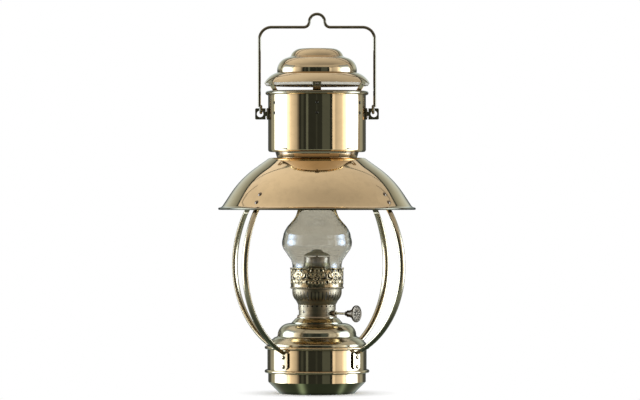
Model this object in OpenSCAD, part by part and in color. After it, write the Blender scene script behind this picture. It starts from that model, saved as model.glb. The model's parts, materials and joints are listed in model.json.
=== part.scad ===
// Trawler lamp: a hanging paraffin lamp of spun brass, in millimetres, +Z up.
// The origin is the middle of the holder's flat underside. The front is -Y.

/* [Sheet, wire and rivets] */
// Thickness of the spun brass sheet
sheet = 1.0; // [0.8:0.1:1.2]
// Thickness of the thinner sheet of the burner
thin = 0.7; // [0.6:0.1:0.8]
// Diameter of the bail's wire
bail_d = 3.8; // [3.4:0.1:4.2]
// Shank diameter of the rivets in the arms
rivet_d = 3.2; // [2.8:0.1:3.4]
// Shank diameter of the small rivets on the chimney
small_rivet_d = 2.4; // [2.0:0.1:2.6]

/* [Holder] */
// Outer radius of the band round the holder
band_r = 64.5; // [63.5:0.5:65.5]
// Height of the lower bead's centre
band_z = 28.6; // [28:0.2:29.4]
// Distance between the two beads' centres
band_h = 30.8; // [30:0.2:31.4]
// Radius of the beads' round section
bead_r = 2.0; // [1.8:0.1:2.2]
// Radius of the pan's flat underside
pan_floor_r = 48.5; // [46:0.5:50]
// Height at which the pan's cone meets its wall
pan_cone_z = 15.0; // [13:0.5:17]
// How far the pan reaches up inside the band
pan_lap = 4.0; // [3:0.5:5]

/* [Arms] */
// Width of an arm
arm_w = 9.0; // [8:0.5:10]
// Thickness of an arm's half-round section
arm_t = 3.5; // [3:0.1:3.8]
// Width of the flat tabs at both ends of an arm
tab_w = 13.0; // [12:0.5:14]
// Thickness of the tabs
tab_t = 2.5; // [2.2:0.1:2.8]
// Radius of the arm's inner face below its widest place
arm_low_r = 118; // [116:1:122]
// Radius of the arm's inner face above its widest place
arm_high_r = 128; // [126:1:130]
// Height of the arm's widest place
arm_wide_z = 165; // [163:1:167]
// Step from the half-round strip out to the top tab
joggle = 2.3; // [2:0.1:2.5]

/* [Shade] */
// Outer radius of the shade's rolled rim
shade_r = 128.5; // [127:0.5:130]
// Height of the rim's centre
rim_z = 239.6; // [239:0.2:240.4]
// Radius of the rim's rolled section
rim_roll_r = 1.5; // [1.3:0.1:1.7]
// Width of the flat flange outside the cone
flange_w = 5.5; // [5:0.5:6.5]
// Angle between the shade's lower cone and the upright
cone_a = 33.3; // [32.5:0.1:34]
// Length of the shade's straight cone
cone_l = 18.6; // [18:0.2:20]

/* [Chimney] */
// Outer radius of the vent drum
drum_r = 63.6; // [63:0.2:64.2]
// Height of the vent drum to its bead's centre
drum_h = 76.5; // [75:0.5:77]
// Radius of the drum's top bead
drum_bead_r = 2.6; // [2.4:0.1:2.8]
// Height of the neck ring between shade and drum
neck_h = 7.7; // [7.4:0.1:8.4]
// Radius of the neck ring where it stands on the shade
neck_r = 51.9; // [51:0.3:52.5]
// Width of a strut that carries the cap
strut_w = 10.6; // [10:0.2:11]
// Outer radius of the cap's rim
cap_r = 68.4; // [68:0.2:68.6]
// Gap between the drum's bead and the cap's lower edge
cap_gap = 7.0; // [6.8:0.1:7.4]

/* [Ears and bail] */
// Width of an ear's plate
ear_w = 13.6; // [13:0.2:14]
// Height of an ear's plate
ear_h = 14.6; // [14:0.2:15]
// Thickness of an ear
ear_t = 2.0; // [1.8:0.1:2.2]
// Radius of the hole in an ear
ear_hole_r = 4.2; // [4.1:0.1:4.4]
// Height of the bail's crossbar above its hinge
bail_h = 107; // [105:0.5:109]
// Radius of the bail's two corners
bail_corner_r = 15.6; // [14:0.2:17]
// Radius of the round top of the bail's loop
loop_r = 10.1; // [9:0.1:11]

/* [Tank] */
// Space between the tank and the holder
tank_gap = 0.45; // [0.4:0.05:0.6]
// Height of the tank's lip above the band's top bead centre
lip_rise = 2.4; // [2.2:0.1:2.8]
// Bore of the collar that takes the burner
collar_bore_r = 22.6; // [22.4:0.1:22.8]

/* [Burner and glass] */
// Outer radius of the wick tube
tube_r = 16.4; // [16.2:0.1:16.5]
// Radius of the pierced gallery
gallery_r = 34.1; // [34:0.1:34.4]
// Height of the pierced gallery above the glass's foot
gallery_h = 21.5; // [20:0.5:22]
// Outer radius of the glass at its foot
glass_foot_r = 32.0; // [31.8:0.1:32.2]
// Outer radius of the glass at its widest place
glass_bulge_r = 45.5; // [44.5:0.5:46]
// Height of the glass
glass_h = 203.5; // [200:0.5:206]
// Height of the glass's widest place above its foot
bulge_h = 54.2; // [53.6:0.2:54.8]
// Outer radius of the glass's long neck
glass_neck_r = 24.0; // [23.5:0.1:24.5]
// Thickness of the glass
glass_t = 1.6; // [1.4:0.1:1.8]
// Radius of the flame disc
disc_r = 17.5; // [17:0.5:18.5]
// Diameter of the wick's spindle
spindle_d = 3.0; // [2.8:0.1:3.2]
// Radius of the wick knob
knob_r = 11.0; // [10:0.5:12]
// Direction of the spindle, from the front towards +X
spindle_a = 56; // [52:1:60]

/* [Hidden] */
$fn = 96;
eps = 0.01;
// Clearance of rivets in their holes and of nested sheets
fit = 0.05;
// Radial clearance of turning shafts
run = 0.06;
// Free space between pieces that pass each other
clear = 0.4;

brass = [0.77, 0.65, 0.49];
dark_brass = [0.62, 0.5, 0.33];
cotton = [0.9, 0.88, 0.82];
cork = [0.55, 0.4, 0.26];
clear_glass = [0.75, 0.74, 0.68, 0.4];

// Arms stand at these directions, from the front towards +X
ARM_A = [-40, 50, 140, 230];
// Struts stand every 60 degrees
STRUT_A = [0, 60, 120, 180, 240, 300];

// Holder
cup_r = band_r - sheet - fit;
band_top = band_z + band_h;
pan_top = band_z + pan_lap;
pan_k = (cup_r - pan_floor_r) / pan_cone_z;
foot_low_z = band_z + 4.2;
foot_rivet_z = [band_z + 7.6, band_z + 19.7];

// Shade: the straight cone's line has a fixed distance along its normal
cone_r = shade_r - flange_w;
cone_z = rim_z + 3.5;
cone_n = cone_r * cos(cone_a) + cone_z * sin(cone_a);
cone_top_r = cone_r - cone_l * sin(cone_a);
cone_top_z = cone_z + cone_l * cos(cone_a);
shoulder_r = 128;
shoulder_a = 54.3;
// Flat land that the neck ring stands on, and the round edge outside it
land_w = 8.5;
crown_r = 5;
shoulder_c = [cone_top_r - shoulder_r * cos(cone_a), cone_top_z - shoulder_r * sin(cone_a)];
shoulder_end = shoulder_c + shoulder_r * [cos(shoulder_a), sin(shoulder_a)];
crown_x = neck_r + land_w;
crown_low_r = crown_x + crown_r * cos(shoulder_a);
crown_low_z = shoulder_end[1] + (shoulder_end[0] - crown_low_r) / tan(shoulder_a);
crown_z = crown_low_z - crown_r * sin(shoulder_a);
shade_top = crown_z + crown_r;

// Arms: their line follows the shade's cone
tab_n = cone_n - sheet - fit - tab_t;
// How far the cone curves in at the two edges of a flat tab
tab_sag = round(100 * tab_w * tab_w * cos(cone_a) / (8 * cone_top_r)) / 100;
arm_n = tab_n - joggle;
arm_wide_r = (arm_n - arm_wide_z * sin(cone_a) - arm_high_r) / cos(cone_a) + arm_high_r;
high_c = arm_wide_r - arm_high_r;
low_c = arm_wide_r - arm_low_r;
foot_in = band_r + fit;
foot_seat = foot_in + tab_t + 0.5;
low_a = -acos((foot_in - low_c) / arm_low_r);
foot_top = arm_wide_z + arm_low_r * sin(low_a);
tab_l = 21;
tab_rivet_s = [5.2, 17.5];
// Length of strip past its last full slope, behind the tab
strip_l = 8.6;
// Places along the cone are measured from its lower end
tab_s = 0.6;

// Chimney
neck_top = shade_top + neck_h;
neck_hole_r = neck_r - 2.5;
neck_top_r = neck_r + 2.4;
drum_top = neck_top + drum_h;
drum_in = drum_r - sheet;
drum_corner = 3.0;
drum_bead_c = drum_in + 1.8;
strut_t = 1.0;
strut_a = 35;
strut_low = drum_top - 32;
strut_bend = drum_top + drum_bead_r + 0.2;
strut_rivet_z = [drum_top - 26.4, drum_top - 13.2];
strut_in = drum_in - fit - strut_t;
cap_low = drum_top + drum_bead_r + cap_gap;
strut_l = 14.2;
// The skirt lies on the struts' inner faces
skirt_r = strut_in + (cap_low - strut_bend) * tan(strut_a) - fit / cos(strut_a);
skirt_l = (cap_r - skirt_r) / sin(strut_a);
skirt_tip = [cap_r, cap_low + skirt_l * cos(strut_a)];
cap_rivet_d = small_rivet_d * 0.75;
cap_rivet_s = 1.5;
cap_z = skirt_tip[1];

// Ears and bail
ear_z = drum_top - 27;
ear_in = drum_r + 3.2;
ear_x = ear_in + ear_w / 2 + 0.4;
ear_base_t = 1.8;
ear_base_a = 10.5;
ear_rivet_a = 7.6;
ear_neck_h = 5.6;
strip_low = ear_z + ear_hole_r;
ear_top = ear_z + ear_h / 2;
hinge_z = (strip_low + ear_top) / 2;
eye_r = 2.4 + bail_d / 2;
bail_x = ear_x + 0.9;
// The eye is turned beside the leg
eye_x = bail_x - bail_d / 2 - 0.1;
bar_z = hinge_z + bail_h;
loop_fillet = 7;
loop_top = bar_z + loop_fillet;

// Tank
tank_r = cup_r - sheet - tank_gap;
tank_t = 0.8;
tank_low_n = (sheet + tank_gap) * sqrt(1 + pan_k * pan_k);
tank_floor_r = pan_floor_r + pan_k * sheet - tank_low_n;
tank_cone_z = (tank_r - pan_floor_r + tank_low_n) / pan_k;
lip_z = band_top + lip_rise;
lip_r = tank_r + 2.0;
hem_h = 2.4;
bowl_top = lip_z + hem_h - 0.3;
dome_r = 15.6;
dome_c = [tank_r - 26.4, lip_z + 13.3];
tank_top = dome_c[1] + dome_r;
collar_h = 8.1;
collar_top = tank_top + collar_h;
collar_spigot_r = collar_bore_r + 3.4;

// Burner
washer_t = 0.8;
foot_z = collar_top + washer_t;
foot_flange_t = 1.9;
flange_r = collar_spigot_r - 0.5;
skirt_out = collar_bore_r - 0.35;
skirt_in = skirt_out - thin;
skirt_low = foot_z - 8.6;
floor_z = foot_z - 4.1;
neck_band_r = 23.7;
neck_band_top = foot_z + 12;
sleeve_r = neck_band_r + fit + thin;
sleeve_low = foot_z + 8.6;
sleeve_top = foot_z + 15.4;
sleeve_hole_z = foot_z + 13.8;
sleeve_hole_r = 1.1;
basket_r = 32.2;
seat_z = foot_z + 41.9;
basket_top = seat_z - 0.8;
basket_flare_z = seat_z - 9.7;
rope_r = 1.15;
rope_c = basket_r + fit + rope_r;
rope_z = seat_z - 4.5;
gallery_in = gallery_r - thin;
glass_in = glass_foot_r - glass_t;
tube_in = tube_r - 0.6;
tube_low = foot_z - 11.6;
tube_top = foot_z + 77.2;
wick_out = tube_in - 0.3;
wick_in = wick_out - 1.7;
air_r = wick_in - 0.3;
air_in = air_r - 0.5;
air_low = foot_z + 9;
duct_a = spindle_a + 180;
duct_w = 12;
duct_z = [foot_z + 17, foot_z + 31];
wick_top = tube_top - 1.5;
wick_low = floor_z - 6;
tail_low = 12;
wick_slit_top = duct_z[1] + 8.8;

// Wick raiser, in the spindle's own direction
spindle_z = foot_z + 4.4;
gear_pitch_r = 3.5;
gear_teeth = 10;
tooth_h = 1.3;
tooth_w = 1.1;
gear_x = [17.7, 20.1];
rack_y = gear_pitch_r + 0.75;
rack_w = 1.5;
rack_low = spindle_z - 8;
rack_top = spindle_z + 13;
rack_pitch = 2 * PI * gear_pitch_r / gear_teeth;
claw_low = spindle_z - 5;
claw_top = spindle_z + 4;
wick_down = 8;
wick_up = 3;
bush_r = 3.3;
bush_x = [20.5, 29.6];
spindle_x = [17.0, 60.5];
knob_x = 60.0;
knob_t = 3.0;

// Flame disc and glass
disc_edge_z = tube_top + 2.2;
disc_h = 7;
disc_boss_z = disc_edge_z + 0.8;
rod_r = 1.2;
bridge_z = [foot_z + 22, foot_z + 58];
bridge_t = 1.2;
glass_z = seat_z;
bulge_z = glass_z + bulge_h;
glass_top = glass_z + glass_h;

function unit(v) = v / norm(v);
function arc(c, r, a0, a1, n) =
    [for (i = [0:n]) c + r * [cos(a0 + (a1 - a0) * i / n), sin(a0 + (a1 - a0) * i / n)]];
// Shifts an open outline sideways by d; the positive side is outwards on a rising outline
function shift(p, d) = [for (i = [0:len(p) - 1])
    let (
        last = len(p) - 1,
        a = i > 0 ? unit(p[i] - p[i - 1]) : unit(p[1] - p[0]),
        b = i < last ? unit(p[i + 1] - p[i]) : a,
        t = unit(a + b)
    )
    p[i] + d / sqrt((1 + a * b) / 2) * [t[1], -t[0]]];
function reversed(p) = [for (i = [len(p) - 1:-1:0]) p[i]];
// Radii of a rivet's two ends
function head_r(d) = d * 0.9;
function tail_r(d) = d * 0.78;

// Turns a sheet of thickness t, whose outer side is the outline, about the lamp's axis
module spun(outline, t) {
    rotate_extrude()
        polygon(concat(outline, reversed(shift(outline, -t))));
}

module ring(r_out, r_in, z0, z1) {
    rotate_extrude()
        translate([r_in, z0])
            square([r_out - r_in, z1 - z0]);
}

module bead(c, z, r) {
    rotate_extrude()
        translate([c, z])
            circle(r);
}

// Puts what is drawn along +X at a direction counted from the front
module at(a) {
    rotate([0, 0, a - 90])
        children();
}

// A rod along +X
module rod(x0, x1, r) {
    translate([x0, 0, 0])
        rotate([0, 90, 0])
            cylinder(h = x1 - x0, r = r);
}

// A rivet along +X: flat tail, shank and domed head, turned in one piece
module rivet(d, x_tail, x_head, tail_h) {
    head_h = d * 0.5;
    ball_r = (head_r(d) * head_r(d) + head_h * head_h) / (2 * head_h);
    edge_a = asin(head_r(d) / ball_r);
    rotate([0, 90, 0])
        rotate_extrude()
            polygon(concat(
                [[0, x_tail - tail_h], [tail_r(d), x_tail - tail_h], [tail_r(d), x_tail]],
                [[d / 2, x_tail], [d / 2, x_head], [head_r(d), x_head]],
                arc([0, x_head + head_h - ball_r], ball_r, 90 - edge_a + 4, 90, 6)));
}

module half_round() {
    round_r = (arm_w * arm_w / 4 + arm_t * arm_t) / (2 * arm_t);
    intersection() {
        translate([arm_t - round_r, 0])
            circle(round_r);
        translate([0, -arm_w / 2])
            square([arm_t, arm_w]);
    }
}

// A strip bent to an arc in the upright plane through the axis
module bent_strip(c, r, a0, a1) {
    translate([c, 0, arm_wide_z])
        rotate([90, 0, 0])
            rotate([0, 0, a0])
                rotate_extrude(angle = a1 - a0)
                    translate([r, 0])
                        half_round();
}

// Puts a frame on the shade's cone: +X is outwards from it, +Z runs up along it
module on_cone(n) {
    foot = [cone_r, cone_z] + (n - cone_n) * [cos(cone_a), sin(cone_a)];
    translate([foot[0], 0, foot[1]])
        rotate([0, -cone_a, 0])
            children();
}

module foot_tab() {
    a = 2 * asin(tab_w / 2 / (band_r + tab_t));
    intersection() {
        rotate([0, 0, -a / 2])
            rotate_extrude(angle = a)
                translate([foot_in, foot_low_z])
                    square([foot_seat - foot_in, foot_top - foot_low_z - 0.3]);
        translate([band_r, 0, 0])
            rotate([90, 0, 90])
                linear_extrude(height = 20, center = true)
                    polygon([[-tab_w, foot_top], [-tab_w / 2, foot_low_z + 2.5],
                        [-tab_w / 2 + 2.5, foot_low_z], [tab_w / 2 - 2.5, foot_low_z],
                        [tab_w / 2, foot_low_z + 2.5], [tab_w, foot_top]]);
    }
}

module top_tab() {
    on_cone(tab_n - tab_sag)
        translate([0, 0, tab_s])
            rotate([90, 0, 90])
                linear_extrude(height = tab_t) {
                    translate([-tab_w / 2, tab_w / 4])
                        square([tab_w, tab_l - tab_w / 2]);
                    translate([-tab_w / 4, 0])
                        square([tab_w / 2, tab_l]);
                    for (x = [-1, 1] * tab_w / 4, y = [tab_w / 4, tab_l - tab_w / 4])
                        translate([x, y])
                            circle(tab_w / 4);
                }
}

// Arm below its widest place, drilled for the two rivets in the holder's band
module lower_arm() {
    difference() {
        union() {
            foot_tab();
            bent_strip(low_c, arm_low_r, low_a, 0);
        }
        for (z = foot_rivet_z)
            translate([0, 0, z])
                rod(band_r - 5, band_r + 12, rivet_d / 2 + fit);
    }
}

// Arm above its widest place, drilled for the two rivets in the shade
module upper_arm() {
    // The strip goes on behind the tab, which stands out from it by the joggle
    lap_a = strip_l / arm_high_r * 180 / PI;
    difference() {
        union() {
            bent_strip(high_c, arm_high_r, 0, cone_a + lap_a);
            top_tab();
        }
        for (s = tab_rivet_s)
            on_cone(tab_n)
                translate([0, 0, tab_s + s])
                    rod(-12, 12, rivet_d / 2 + fit);
    }
}

module arm() {
    color(brass) {
        lower_arm();
        upper_arm();
    }
}

module arm_at(i) {
    at(ARM_A[i])
        arm();
}

module arm_front_left() {
    arm_at(0);
}

module arm_front_right() {
    arm_at(1);
}

module arm_back_right() {
    arm_at(2);
}

module arm_back_left() {
    arm_at(3);
}

module holder_band() {
    color(brass)
        difference() {
            union() {
                ring(band_r, band_r - sheet, band_z - bead_r / 2, band_top + bead_r / 2);
                for (z = [band_z, band_top])
                    bead(band_r + bead_r - 0.4, z, bead_r);
            }
            for (a = ARM_A, z = foot_rivet_z)
                at(a)
                    translate([0, 0, z])
                        rod(band_r - 5, band_r + 5, rivet_d / 2 + fit);
        }
}

module holder_pan() {
    color(brass)
        spun([[0, 0], [pan_floor_r, 0], [cup_r, pan_cone_z], [cup_r, pan_top]], sheet);
}

module foot_rivets() {
    color(brass)
        for (a = ARM_A, z = foot_rivet_z)
            at(a)
                translate([0, 0, z])
                    rivet(rivet_d, band_r - sheet - fit, foot_seat + fit, 0.6);
}

module shade() {
    outline = concat(
        [[shade_r - rim_roll_r, rim_z + rim_roll_r]],
        [[cone_r + 1.6, cone_z - 1.3], [cone_r, cone_z]],
        arc(shoulder_c, shoulder_r, cone_a, shoulder_a, 10),
        arc([crown_x, crown_z], crown_r, shoulder_a, 90, 5),
        [[neck_hole_r + fit, shade_top]]);
    color(brass)
        difference() {
            union() {
                spun(outline, sheet);
                bead(shade_r - rim_roll_r, rim_z, rim_roll_r);
            }
            for (a = ARM_A, s = tab_rivet_s)
                at(a)
                    on_cone(cone_n)
                        translate([0, 0, tab_s + s])
                            rod(-8, 8, rivet_d / 2 + fit);
        }
}

module shade_rivets() {
    color(brass)
        for (a = ARM_A, s = tab_rivet_s)
            at(a)
                on_cone(cone_n)
                    translate([0, 0, tab_s + s])
                        rivet(rivet_d, -sheet - tab_sag - tab_t - 2 * fit, 0, 0.9);
}

module neck_ring() {
    lip = 1.0;
    foot_r = neck_hole_r;
    top_hole = neck_top_r - 2.5;
    color(brass)
        rotate_extrude()
            polygon([[foot_r - 1.2, shade_top - sheet - lip], [foot_r + 1.4, shade_top - sheet - lip],
                [foot_r + 1.4, shade_top - sheet], [foot_r, shade_top - sheet],
                [foot_r, shade_top], [neck_r, shade_top], [neck_top_r, neck_top],
                [top_hole, neck_top], [top_hole, neck_top + sheet],
                [top_hole + 1.4, neck_top + sheet], [top_hole + 1.4, neck_top + sheet + lip],
                [top_hole - 1.2, neck_top + sheet + lip], [top_hole - 1.2, neck_top],
                [foot_r - 1.2, shade_top]]);
}

module vent_drum() {
    slot_w = 15.5;
    slot_h = 1.4;
    outline = concat(
        [[neck_top_r - 2.5 + fit, neck_top]],
        arc([drum_r - drum_corner, neck_top + drum_corner], drum_corner, -90, 0, 6),
        [[drum_r, drum_top]]);
    color(brass)
        difference() {
            union() {
                spun(outline, sheet);
                bead(drum_bead_c, drum_top, drum_bead_r);
                ring(drum_r, drum_in, drum_top - 1, drum_top + 1);
            }
            translate([0, 0, drum_top - 4])
                cylinder(h = 8, r = drum_in);
            for (a = [-44, 44, 136, 224])
                at(a)
                    translate([drum_r - 4, -slot_w / 2, neck_top + drum_corner])
                        cube([8, slot_w, slot_h]);
            for (a = STRUT_A, z = strut_rivet_z)
                at(a)
                    translate([0, 0, z])
                        rod(drum_r - 5, drum_r + 5, small_rivet_d / 2 + fit);
            for (side = [90, 270], turn = [-1, 1])
                at(side + turn * ear_rivet_a)
                    translate([0, 0, ear_z + turn * 4])
                        rod(drum_r - 5, drum_r + 5, small_rivet_d / 2 + fit);
        }
}

// Frame on a strut's leaning part: +X outwards, +Z up along it, zero on its inner face
module on_strut() {
    translate([strut_in, 0, strut_bend])
        rotate([0, strut_a, 0])
            children();
}

module cap_rivet_place() {
    on_strut()
        translate([0, 0, (cap_low - strut_bend) / cos(strut_a) + cap_rivet_s])
            children();
}

module cap_struts() {
    color(brass)
        for (a = STRUT_A)
            at(a)
                difference() {
                    union() {
                        rotate([0, 0, -asin(strut_w / 2 / drum_in)])
                            rotate_extrude(angle = 2 * asin(strut_w / 2 / drum_in))
                                translate([strut_in, strut_low])
                                    square([strut_t, strut_bend - strut_low]);
                        on_strut()
                            translate([0, -strut_w / 2, -0.6])
                                cube([strut_t, strut_w, strut_l]);
                    }
                    for (z = strut_rivet_z)
                        translate([0, 0, z])
                            rod(drum_r - 5, drum_r + 5, small_rivet_d / 2 + fit);
                    cap_rivet_place()
                        rod(-5, 5, cap_rivet_d / 2 + fit);
                }
}

module strut_rivets() {
    color(brass)
        for (a = STRUT_A, z = strut_rivet_z)
            at(a)
                translate([0, 0, z])
                    rivet(small_rivet_d, strut_in - fit, drum_r, 0.7);
}

module vent_cap() {
    // Each step is a round bulge: its middle's radius and height, its own radius, its two end angles
    steps = [[cap_r - 24, cap_z - 11.8, 26.8, 27.5, 71],
        [cap_r - 33.5, cap_z + 16.8, 17, -10, 81],
        [cap_r - 47.4, cap_z + 31.6, 13.6, 16, 90]];
    outline = concat(
        [[skirt_r, cap_low], skirt_tip],
        [for (s = steps) each arc([s[0], s[1]], s[2], s[3], s[4], 8)],
        [[0, steps[2][1] + steps[2][2]]]);
    color(brass)
        difference() {
            spun(outline, sheet);
            for (a = STRUT_A)
                at(a)
                    cap_rivet_place()
                        rod(-3, 3, cap_rivet_d / 2 + fit);
        }
}

module cap_rivets() {
    color(brass)
        for (a = STRUT_A)
            at(a)
                cap_rivet_place()
                    rivet(cap_rivet_d, -2 * fit - sheet, strut_t, 0.6);
}

// An ear along +X: riveted base on the drum, a short neck and the pierced plate
module ear() {
    low = ear_z - ear_h / 2;
    color(brass)
        difference() {
            union() {
                rotate([0, 0, -ear_base_a])
                    rotate_extrude(angle = 2 * ear_base_a)
                        translate([drum_r + fit, low])
                            square([ear_base_t, ear_h]);
                translate([drum_r + 0.5, -ear_t / 2, ear_z - ear_neck_h / 2])
                    cube([ear_in - drum_r + 1, ear_t, ear_neck_h]);
                translate([ear_in, 0, low])
                    rotate([90, 0, 0])
                        linear_extrude(height = ear_t, center = true)
                            ear_outline();
            }
            translate([ear_x, 0, ear_z])
                rotate([90, 0, 0])
                    cylinder(h = 10, r = ear_hole_r, center = true);
            for (turn = [-1, 1])
                rotate([0, 0, turn * ear_rivet_a])
                    translate([0, 0, ear_z + turn * 4])
                        rod(drum_r - 5, drum_r + 6, small_rivet_d / 2 + fit);
        }
}

module ear_outline() {
    corner = 1.6;
    square([ear_w - corner, ear_h]);
    translate([0, corner])
        square([ear_w, ear_h - 2 * corner]);
    for (y = [corner, ear_h - corner])
        translate([ear_w - corner, y])
            circle(corner);
}

module left_ear() {
    at(270)
        ear();
}

module right_ear() {
    at(90)
        ear();
}

module ear_rivets() {
    color(brass)
        for (side = [90, 270], turn = [-1, 1])
            at(side + turn * ear_rivet_a)
                translate([0, 0, ear_z + turn * 4])
                    rivet(small_rivet_d, drum_in - fit, drum_r + fit + ear_base_t, 0.7);
}

// A wire bent to an arc in the XZ plane
module bent_wire(x, z, r, a0, a1) {
    translate([x, 0, z])
        rotate([90, 0, 0])
            rotate([0, 0, a0])
                rotate_extrude(angle = a1 - a0)
                    translate([r, 0])
                        circle(bail_d / 2);
}

module half_bail() {
    corner = [bail_x - bail_corner_r, bar_z - bail_corner_r];
    leg_low = hinge_z + eye_r - 1;
    translate([bail_x, 0, leg_low])
        cylinder(h = corner[1] - leg_low, r = bail_d / 2);
    translate([eye_x, 0, hinge_z])
        rotate([0, 90, 0])
            rotate_extrude()
                translate([eye_r, 0])
                    circle(bail_d / 2);
    bent_wire(corner[0], corner[1], bail_corner_r, 0, 90);
    translate([0, 0, bar_z])
        rod(loop_r + loop_fillet, corner[0], bail_d / 2);
    bent_wire(loop_r + loop_fillet, loop_top, loop_fillet, 180, 270);
    bent_wire(0, loop_top, loop_r, 0, 90);
}

module bail() {
    color(brass) {
        half_bail();
        mirror([1, 0, 0])
            half_bail();
    }
}

module tank_bowl() {
    color(brass)
        spun([[0, sheet], [tank_floor_r, sheet], [tank_r, tank_cone_z], [tank_r, bowl_top]], tank_t);
}

module tank_cover() {
    slope_end = dome_c[0] + dome_r + 4.2;
    outline = concat(
        [[lip_r, lip_z], [lip_r, lip_z + hem_h]],
        [[lip_r - 0.7, lip_z + hem_h + 1.1], [lip_r - 3.6, lip_z + 6.6]],
        [[slope_end + 1.0, lip_z + 9.6], [slope_end, lip_z + 10.5]],
        [[slope_end - 2.4, lip_z + 11.4], [dome_c[0] + dome_r + 0.6, lip_z + 11.9]],
        arc(dome_c, dome_r, 0, 90, 12),
        [[collar_spigot_r + fit, tank_top]]);
    color(brass) {
        spun(outline, sheet);
        ring(lip_r - sheet / 2, tank_r + fit, lip_z, lip_z + hem_h);
    }
}

module tank_collar() {
    z = tank_top;
    color(brass)
        rotate_extrude()
            polygon([[collar_bore_r, z - sheet - 1.5], [collar_spigot_r + 1.6, z - sheet - 1.5],
                [collar_spigot_r + 1.6, z - sheet], [collar_spigot_r, z - sheet],
                [collar_spigot_r, z], [collar_spigot_r + 6.8, z], [collar_spigot_r + 6.8, z + 1.3],
                [collar_spigot_r + 5.4, z + 2.4], [collar_spigot_r + 5.0, z + 3.2],
                [collar_spigot_r + 3.4, z + 4.6], [collar_spigot_r + 3.0, z + 5.4],
                [collar_spigot_r + 1.3, z + 6.8], [collar_spigot_r, z + 7.2],
                [collar_spigot_r, collar_top], [collar_bore_r, collar_top]]);
}

module burner_washer() {
    color(cork)
        ring(flange_r + 0.3, collar_bore_r + 0.1, collar_top, foot_z);
}

// What the rack and its claw pass through in the floor and the wick tube
module rack_way() {
    at(spindle_a)
        translate([12, -rack_y - rack_w - 0.9, claw_low - wick_down - 1])
            cube([9, rack_w + tooth_h + 1.8, claw_top - claw_low + wick_down + wick_up + 2]);
}

module burner_foot() {
    top = foot_z + foot_flange_t;
    color(dark_brass)
        difference() {
            union() {
                ring(flange_r, skirt_in, foot_z, top);
                ring(skirt_out, skirt_in, skirt_low, top);
                ring(skirt_in + 0.2, tube_r + fit, floor_z, floor_z + 0.8);
                ring(neck_band_r, neck_band_r - thin, top - 0.5, neck_band_top);
                ring(neck_band_r, skirt_in, top - 0.8, top);
            }
            for (a = [-46, 134, 224])
                at(a)
                    translate([0, 0, foot_z + 6.4])
                        rod(neck_band_r - 3, neck_band_r + 3, 1.7);
            at(spindle_a)
                translate([0, 0, spindle_z])
                    rod(bush_x[0] - 3, bush_x[1], bush_r + fit);
            rack_way();
        }
}

module spindle_bush() {
    color(dark_brass)
        at(spindle_a)
            translate([0, 0, spindle_z])
                difference() {
                    rod(bush_x[0], bush_x[1], bush_r);
                    rod(bush_x[0] - 1, bush_x[1] + 1, spindle_d / 2 + run);
                }
}

module outer_tube() {
    color(dark_brass)
        difference() {
            ring(tube_r, tube_in, tube_low, tube_top);
            rack_way();
            at(duct_a)
                translate([tube_in - 4, -duct_w / 2 - fit, duct_z[0] - fit])
                    cube([9, duct_w + 2 * fit, duct_z[1] - duct_z[0] + 2 * fit]);
        }
}

module air_tube() {
    wall = 0.6;
    color(dark_brass)
        difference() {
            union() {
                ring(air_r, air_in, air_low, tube_top - 0.5);
                cylinder_at(air_low, air_low + wall, air_r);
                at(duct_a)
                    translate([air_in - 2, -duct_w / 2, duct_z[0]])
                        cube([tube_r - air_in + 3.5, duct_w, duct_z[1] - duct_z[0]]);
            }
            at(duct_a)
                translate([air_in - 4, -duct_w / 2 + wall, duct_z[0] + wall])
                    cube([12, duct_w - 2 * wall, duct_z[1] - duct_z[0] - 2 * wall]);
            cylinder_at(air_low + wall, tube_top, air_in);
        }
}

module cylinder_at(z0, z1, r) {
    translate([0, 0, z0])
        cylinder(h = z1 - z0, r = r);
}

module rod_bridges() {
    color(dark_brass)
        for (z = bridge_z)
            difference() {
                intersection() {
                    cylinder_at(z, z + bridge_t, air_in - fit);
                    at(spindle_a)
                        translate([-20, -2.5, z])
                            cube([40, 5, bridge_t]);
                }
                cylinder_at(z - 1, z + 3, rod_r + run);
            }
}

module burner_basket() {
    flutes = 40;
    flute_w = 1.3;
    sleeve_holes = 24;
    belly = arc([basket_r - 16, basket_flare_z], 16, -46, 0, 8);
    outline = concat(
        [[sleeve_r, sleeve_low], [sleeve_r, sleeve_top], [sleeve_r + 0.8, sleeve_top + 1.2]],
        belly, [[basket_r, basket_top]]);
    color(dark_brass)
        difference() {
            spun(outline, thin);
            for (i = [0:flutes - 1])
                at((i + 0.5) * 360 / flutes)
                    translate([basket_r - 6, -flute_w / 2, sleeve_top + 6])
                        cube([12, flute_w, 11.5]);
            for (i = [0:sleeve_holes - 1])
                at(i * 360 / sleeve_holes)
                    translate([0, 0, sleeve_hole_z])
                        rod(sleeve_r - 4, sleeve_r + 2, sleeve_hole_r);
        }
}

module burner_cone() {
    holes = 24;
    mouth_r = tube_r + 0.6;
    base_r = glass_in - clear;
    outline = concat(
        [[base_r, seat_z], [base_r - 5.2, seat_z + 9.5]],
        [[mouth_r + 1.6, seat_z + 22], [mouth_r + 0.5, seat_z + 25], [mouth_r + 0.5, seat_z + 28]]);
    color(dark_brass)
        difference() {
            union() {
                ring(gallery_in - fit, base_r - thin, basket_top, seat_z);
                spun(outline, 0.5);
            }
            for (i = [0:holes - 1])
                at(i * 360 / holes)
                    translate([0, 0, seat_z + 5])
                        rod(base_r - 8, base_r + 4, 1.1);
        }
}

// The part of a round hole of radius r that a shifted hole of the same size leaves
module crescent(r, off) {
    difference() {
        rod(gallery_r - 4, gallery_r + 4, r);
        translate([0, off, 0])
            rod(gallery_r - 5, gallery_r + 5, r);
    }
}

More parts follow.
